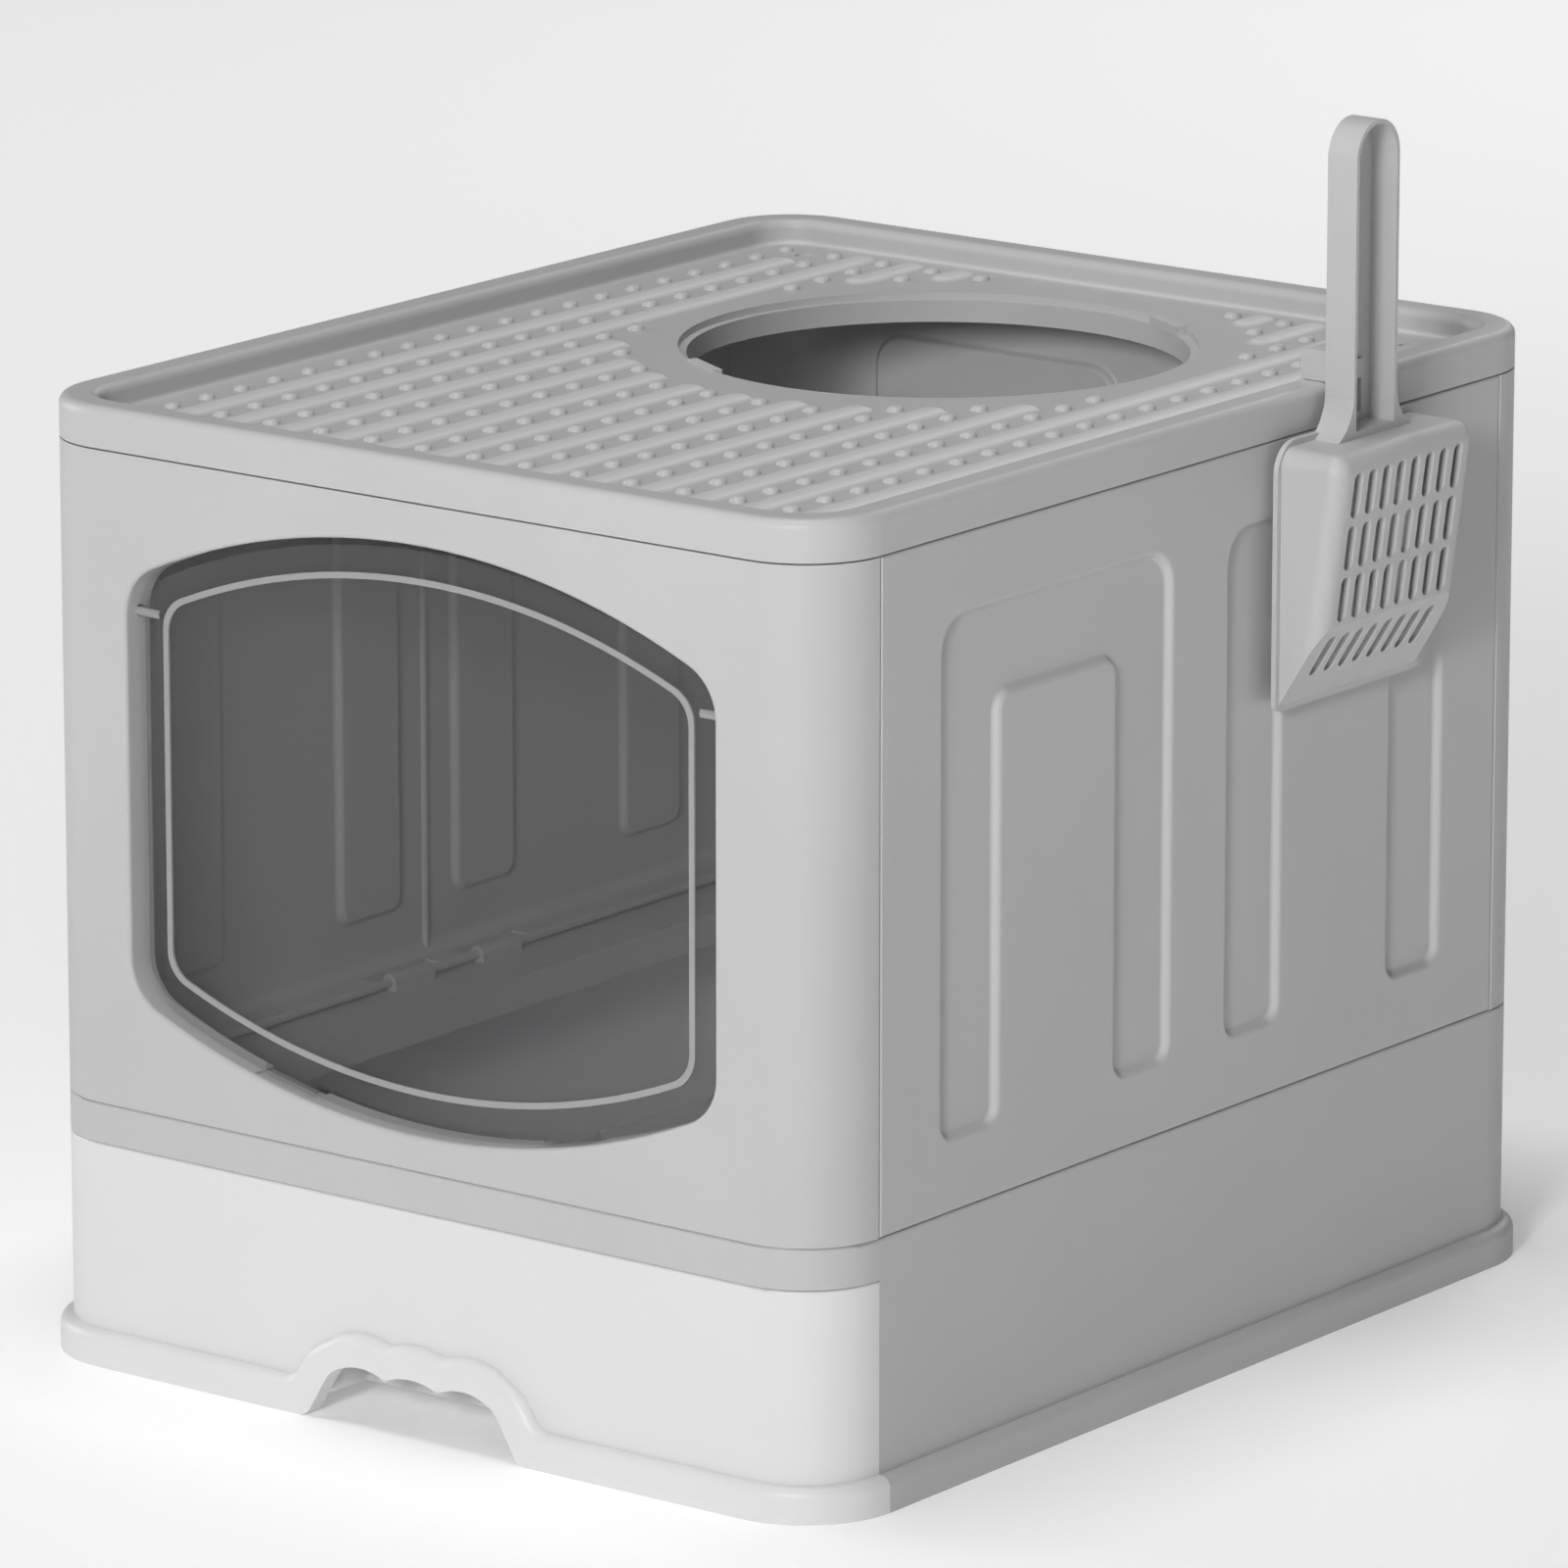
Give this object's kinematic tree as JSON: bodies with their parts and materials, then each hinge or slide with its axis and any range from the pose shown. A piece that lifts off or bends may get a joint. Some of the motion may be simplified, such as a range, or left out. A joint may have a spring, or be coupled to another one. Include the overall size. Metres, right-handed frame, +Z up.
{
  "type": "hooded cat litter box",
  "caption": "Foldable hooded cat litter box with a swinging smoked door, a round entry in the treaded lid, a pull-out litter drawer and a slotted scoop hanging on a side hook.",
  "frame": {"origin": "on the floor, under the middle of the whole object's extents, the hanging scoop included", "axes": "+X to the object's right side, where the scoop hangs, +Y from the door towards the back, +Z up"},
  "size_m": [0.4404, 0.5028, 0.503],
  "materials": {
    "shell_grey": "fine satin, injection moulded",
    "tray_white": "smooth satin, injection moulded",
    "smoked_clear": "polished, transparent, lightly smoked"
  },
  "bodies": {
    "base": {"base_frame": "shell_grey", "front_panel": "shell_grey", "rear_panel": "shell_grey"},
    "drawer": {"drawer": "tray_white"},
    "door": {"door": "smoked_clear"},
    "lid": {"lid": "shell_grey"},
    "hook": {"scoop_hook": "shell_grey"},
    "scoop": {"scoop": "shell_grey"},
    "left_side_panel": {"left_side_panel": "shell_grey"},
    "right_side_panel": {"right_side_panel": "shell_grey"}
  },
  "joints": [
    {"name": "door_swing", "type": "hinge", "parent": "base", "child": "door", "pos_m": [-0.01477, -0.237, 0.313], "axis": [1, 0, 0], "range_deg": [-80, 80]},
    {"name": "drawer_slide", "type": "slide", "parent": "base", "child": "drawer", "axis": [0, -1, 0], "range_m": [0, 0.4]},
    {"name": "left_panel_fold", "type": "hinge", "parent": "base", "child": "left_side_panel", "pos_m": [-0.19677, 0, 0.1125], "axis": [0, 1, 0], "range_deg": [0, 90]},
    {"name": "right_panel_fold", "type": "hinge", "parent": "base", "child": "right_side_panel", "pos_m": [0.16723, 0, 0.1193], "axis": [0, -1, 0], "range_deg": [0, 90]},
    {"name": "lid_lift", "type": "slide", "parent": "base", "child": "lid", "axis": [0, 0, 1], "range_m": [0, 0.3]},
    {"name": "hook_lift", "type": "slide", "parent": "lid", "child": "hook", "axis": [0, 0, 1], "range_m": [0, 0.05]},
    {"name": "scoop_lift", "type": "slide", "parent": "hook", "child": "scoop", "axis": [0.4472, 0, 0.8944], "range_m": [0, 0.12]}
  ]
}
